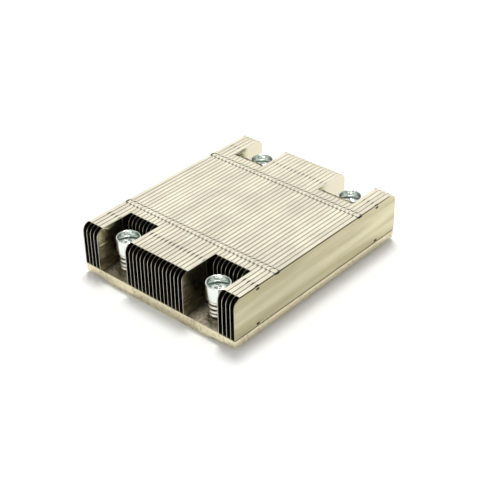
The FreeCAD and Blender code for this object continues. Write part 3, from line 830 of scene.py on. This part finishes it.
class AddSprings(bpy.types.Operator):
    """Makes the four compression springs with closed ends"""

    bl_idname = "heat_sink.add_springs"
    bl_label = "Add springs"

    def execute(self, context):
        sizes = context.scene.heat_sink_fixing
        finish = context.scene.heat_sink_finish
        steel = bright_steel("bright_spring_wire", finish.wire_tint, finish.wire_roughness)
        wire = sizes.wire_radius
        for n in CORNERS:
            node = f"spring_{n}"
            centre, outer, low, high = round_node(node)
            # The closed turns rise a twentieth more than the wire, so they don't quite touch.
            closed_rise = 2.1 * wire * sizes.closed_turns
            active_rise = (high - low) - 2 * wire - 2 * closed_rise
            mesh = bmesh.new()
            ring = bmesh.ops.create_circle(mesh, cap_ends=False, segments=sizes.wire_steps,
                                           radius=wire)
            turn_about(mesh, (0, 0, 0), math.pi / 2, "X")
            bmesh.ops.translate(mesh, verts=ring["verts"],
                                vec=(centre.x + outer - wire, centre.y, low + wire))
            turn_about(mesh, centre, sizes.spring_start)
            mesh.faces.new(ring["verts"])
            geom = None
            for turns, rise in ((sizes.closed_turns, closed_rise),
                                (sizes.active_turns, active_rise),
                                (sizes.closed_turns, closed_rise)):
                geom = turn(mesh, centre, round(turns * sizes.spring_steps),
                            2 * math.pi * turns, rise, geom)
            cap(mesh, geom)
            spring = make_piece(f"coil_spring_{n}", mesh, steel, smooth_angle=50)
            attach(spring, "heat_sink")
            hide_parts(node)
            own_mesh(spring)
        return {"FINISHED"}


class AddRetainingRings(bpy.types.Operator):
    """Makes the four open retaining rings under the base"""

    bl_idname = "heat_sink.add_retaining_rings"
    bl_label = "Add retaining rings"

    def execute(self, context):
        finish = context.scene.heat_sink_finish
        steel = bright_steel("spring_steel_ring", finish.wire_tint, finish.ring_roughness)
        width = 1.1 * MM
        mouth = math.radians(60)
        for n in CORNERS:
            node = f"retaining_ring_{n}"
            low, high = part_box(node)
            centre = round_node(f"captive_screw_{n}")[0]
            outer = max(high.x - centre.x, centre.x - low.x,
                        high.y - centre.y, centre.y - low.y)
            mesh = bmesh.new()
            add_section(mesh, [(outer, low.z), (outer, high.z), (outer - width, high.z),
                               (outer - width, low.z)], centre)
            bmesh.ops.edgenet_fill(mesh, edges=mesh.edges)
            opening = math.radians(-90 if n in (1, 2) else 90)
            turn_about(mesh, centre, opening + mouth / 2)
            cap(mesh, turn(mesh, centre, steps=30, angle=2 * math.pi - mouth))
            ring = make_piece(f"snap_ring_{n}", mesh, steel, smooth_angle=30)
            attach(ring, f"screw_{n}")
            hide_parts(node)
        return {"FINISHED"}


class SetStage(bpy.types.Operator):
    """Makes the floor, the soft studio light, the surroundings and the camera"""

    bl_idname = "heat_sink.set_stage"
    bl_label = "Set stage"

    def make_floor(self, settings):
        """A pale floor that keeps the shadow and glows a little where it is seen."""
        mesh = bmesh.new()
        bmesh.ops.create_grid(mesh, x_segments=1, y_segments=1, size=settings.floor_size)
        material, tree, place = new_material("studio_floor")
        rays = add_node(tree, "LightPath").outputs
        seen = rays["Is Camera Ray"]
        for kind in ("Is Glossy Ray", "Is Transmission Ray"):
            seen = add_node(tree, "Math", {0: seen, 1: rays[kind]}, operation="MAXIMUM")
        glow = add_node(tree, "Math", {0: seen, 1: settings.floor_glow}, operation="MULTIPLY")
        # Faint waves a quarter of a metre across, so that the floor isn't perfectly even.
        clouds = stretched(tree, place, (0.004, 0.004, 0.004), detail=1.0)
        tone = add_node(tree, "ValToRGB", {"Fac": clouds},
                        stops=[(0.0, tuple(Vector(settings.floor_colour) * 0.985)),
                               (1.0, tuple(settings.floor_colour))])
        finish_material(tree, {"Base Color": tone, "Roughness": 0.9,
                               "Specular IOR Level": 0.1, "Emission Color": (1, 1, 1),
                               "Emission Strength": glow})
        floor = make_piece("floor", mesh, material)
        floor.data.transform(Matrix.Translation((0, 0, CAD_LOW.z - 0.05 * MM)))

    def add_lamp(self, scene, settings):
        """A square softbox above and behind the object, aimed at its middle."""
        data = bpy.data.lights.new("softbox_above", "AREA")
        data.shape = "SQUARE"
        data.size = settings.lamp_size
        data.energy = settings.lamp_watts
        lamp = bpy.data.objects.new("softbox_above", data)
        scene.collection.objects.link(lamp)
        lamp.location = settings.lamp_place
        lamp.rotation_euler = (-lamp.location).to_track_quat("-Z", "Y").to_euler()

    def set_world(self, scene):
        """Pale surroundings: white at the horizon and greyer overhead."""
        world = bpy.data.worlds.new("studio")
        world.use_nodes = True
        tree = world.node_tree
        tree.nodes.clear()
        way = add_node(tree, "TexCoord").outputs["Generated"]
        way = add_node(tree, "SeparateXYZ", {"Vector": way}).outputs
        height = add_node(tree, "ValToRGB", {"Fac": way["Z"]},
                          stops=[(0.0, 1.0), (0.3, 0.98), (0.6, 0.9), (1.0, 0.5)])
        # Three broad soft panels stand round the table with dark room between them, one of
        # the gaps behind the camera. The horizon itself stays plain and white.
        panels, phase = 3.0, -0.63
        bearing = add_node(tree, "Math", {0: way["Y"], 1: way["X"]}, operation="ARCTAN2")
        thrice = add_node(tree, "Math",
                          {0: bearing, 1: panels, 2: phase}, operation="MULTIPLY_ADD")
        wave = add_node(tree, "Math", {0: thrice}, operation="COSINE")
        panel = add_node(tree, "MapRange",
                         {"Value": wave, "From Min": -0.7, "From Max": 0.5, "To Min": 0.3,
                          "To Max": 1.1}, interpolation_type="SMOOTHSTEP")
        above = add_node(tree, "MapRange", {"Value": way["Z"], "From Min": 0.12, "From Max": 0.4},
                         interpolation_type="SMOOTHSTEP")
        level = add_node(tree, "Mix", {0: above, 2: 1.0, 3: panel}, data_type="FLOAT")
        tone = add_node(tree, "Math", {0: height, 1: level}, operation="MULTIPLY")
        # Behind the object the surroundings are white at every height.
        seen = add_node(tree, "LightPath").outputs["Is Camera Ray"]
        plain = add_node(tree, "Math", {0: tone, 1: seen}, operation="MAXIMUM")
        back = add_node(tree, "Background", {"Color": plain, "Strength": 1.0})
        add_node(tree, "OutputWorld", {"Surface": back})
        scene.world = world

    def set_camera(self, scene, settings):
        azimuth, elevation = settings.azimuth, settings.elevation
        back = Vector((math.sin(azimuth) * math.cos(elevation),
                       -math.cos(azimuth) * math.cos(elevation), math.sin(elevation)))
        right = Vector((0, 0, 1)).cross(back).normalized()
        up = back.cross(right)
        turn_right = right * math.cos(settings.roll) + up * math.sin(settings.roll)
        turn_up = up * math.cos(settings.roll) - right * math.sin(settings.roll)
        place = (Vector((0, 0, settings.aim_height)) + back * settings.distance
                 + turn_right * settings.aim_right + turn_up * settings.aim_up)
        data = bpy.data.cameras.new("camera")
        data.sensor_width = 36.0
        data.lens = settings.lens
        data.clip_start = 0.01
        data.clip_end = 50.0
        camera = bpy.data.objects.new("camera", data)
        scene.collection.objects.link(camera)
        camera.matrix_world = Matrix.Translation(place) @ Matrix(
            (turn_right, turn_up, back)).transposed().to_4x4()
        scene.camera = camera

    def execute(self, context):
        scene = context.scene
        settings = scene.heat_sink_stage
        self.make_floor(settings)
        self.add_lamp(scene, settings)
        self.set_world(scene)
        self.set_camera(scene, settings)
        scene.view_settings.view_transform = "Standard"
        return {"FINISHED"}


class HeatSinkPanel(bpy.types.Panel):
    """Lists the sizes, the finishes and the operators"""

    bl_idname = "VIEW3D_PT_heat_sink"
    bl_label = "Heat sink"
    bl_space_type = "VIEW_3D"
    bl_region_type = "UI"
    bl_category = "Heat sink"

    def draw(self, context):
        for group in (context.scene.heat_sink_finish, context.scene.heat_sink_fixing,
                      context.scene.heat_sink_stage):
            box = self.layout.box()
            for name in group.__annotations__:
                box.prop(group, name)
        for operator in OPERATORS:
            self.layout.operator(operator.bl_idname)


OPERATORS = (FinishFins, AddFirstFin, AddBasePlate, AddSpringCups, AddCaptiveScrews, AddSprings,
             AddRetainingRings, SetStage)
GROUPS = {"heat_sink_finish": FinishSettings, "heat_sink_fixing": FixingSettings,
          "heat_sink_stage": StageSettings}


def register():
    for kind in (*GROUPS.values(), *OPERATORS, HeatSinkPanel):
        bpy.utils.register_class(kind)
    for name, kind in GROUPS.items():
        setattr(bpy.types.Scene, name, PointerProperty(type=kind))


def unregister():
    for name in GROUPS:
        delattr(bpy.types.Scene, name)
    for kind in (HeatSinkPanel, *reversed(OPERATORS), *GROUPS.values()):
        bpy.utils.unregister_class(kind)


def main():
    register()
    for operator in OPERATORS:
        group, name = operator.bl_idname.split(".")
        getattr(getattr(bpy.ops, group), name)()


if __name__ == "__main__":
    main()
